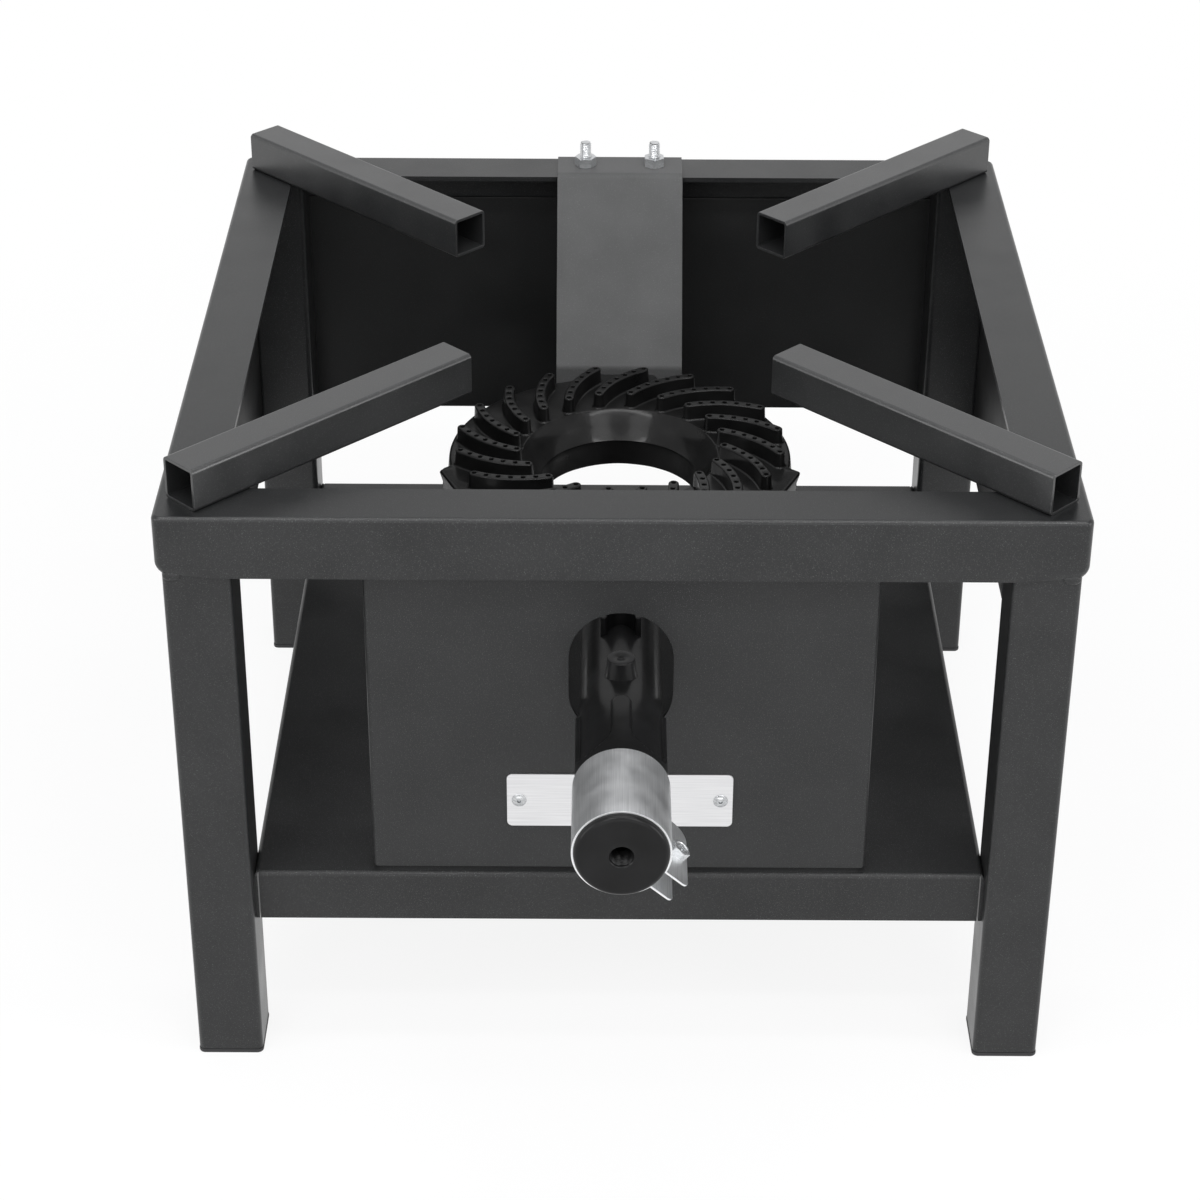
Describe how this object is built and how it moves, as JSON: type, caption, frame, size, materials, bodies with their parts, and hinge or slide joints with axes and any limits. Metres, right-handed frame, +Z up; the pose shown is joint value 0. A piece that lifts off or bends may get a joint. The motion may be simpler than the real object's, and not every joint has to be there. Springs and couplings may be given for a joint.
{
  "type": "single burner gas stove",
  "caption": "Low square gas stove: angle frame on square legs, corner pot supports, cast ring burner with curved fins, mixing tube with a sliding air shutter, heat shelf and shields.",
  "frame": {"origin": "on the floor, under the middle of the whole stove with its mixing tube, seen from above; the burner's axis stands 52.8 mm behind it", "axes": "+Z up, +X to the right seen from the front, the gas inlet faces -Y"},
  "size_m": [0.4, 0.5056, 0.31],
  "materials": {
    "frame_paint": "satin dark grey powder coat",
    "support_paint": "satin dark grey powder coat",
    "sheet_paint": "satin dark grey powder coat on sheet",
    "burner_iron": "glossy black lacquer on rough casting",
    "tube_iron": "satin black paint on casting",
    "shutter_steel": "brushed zinc-coated sheet",
    "zinc": "bright zinc plating",
    "plate_aluminium": "fine brushed, bare",
    "rivet_aluminium": "bright",
    "foot_plastic": "moulded black"
  },
  "bodies": {
    "stove": {"rail_front": "frame_paint", "rail_rear": "frame_paint", "rail_left": "frame_paint", "rail_right": "frame_paint", "leg_front_left": "frame_paint", "leg_front_right": "frame_paint", "leg_rear_left": "frame_paint", "leg_rear_right": "frame_paint", "foot_cap_front_left": "foot_plastic", "foot_cap_front_right": "foot_plastic", "foot_cap_rear_left": "foot_plastic", "foot_cap_rear_right": "foot_plastic", "pot_support_front_left": "support_paint", "pot_support_front_right": "support_paint", "pot_support_rear_left": "support_paint", "pot_support_rear_right": "support_paint", "heat_shelf": "sheet_paint", "front_plate": "sheet_paint", "rear_shield": "sheet_paint", "side_shield_left": "sheet_paint", "side_shield_right": "sheet_paint", "burner_head": "burner_iron", "mixing_tube": "tube_iron", "burner_bracket": "frame_paint", "bracket_bolts": "zinc", "bracket_washers": "zinc", "bracket_nuts": "zinc", "burner_bolt": "zinc", "burner_washer": "zinc", "nameplate": "plate_aluminium", "nameplate_rivets": "rivet_aluminium"},
    "shutter": {"air_shutter": "shutter_steel", "shutter_nut": "zinc"},
    "clamp_screw": {"shutter_screw": "zinc"}
  },
  "joints": [
    {"name": "shutter_slide", "type": "slide", "parent": "stove", "child": "shutter", "axis": [0, 1, 0], "range_m": [0, 0.044]},
    {"name": "clamp_turn", "type": "hinge", "parent": "shutter", "child": "clamp_screw", "pos_m": [0.02, -0.2298, 0.17361], "axis": [0.6561, 0, 0.7547], "range_deg": [0, 720]}
  ]
}
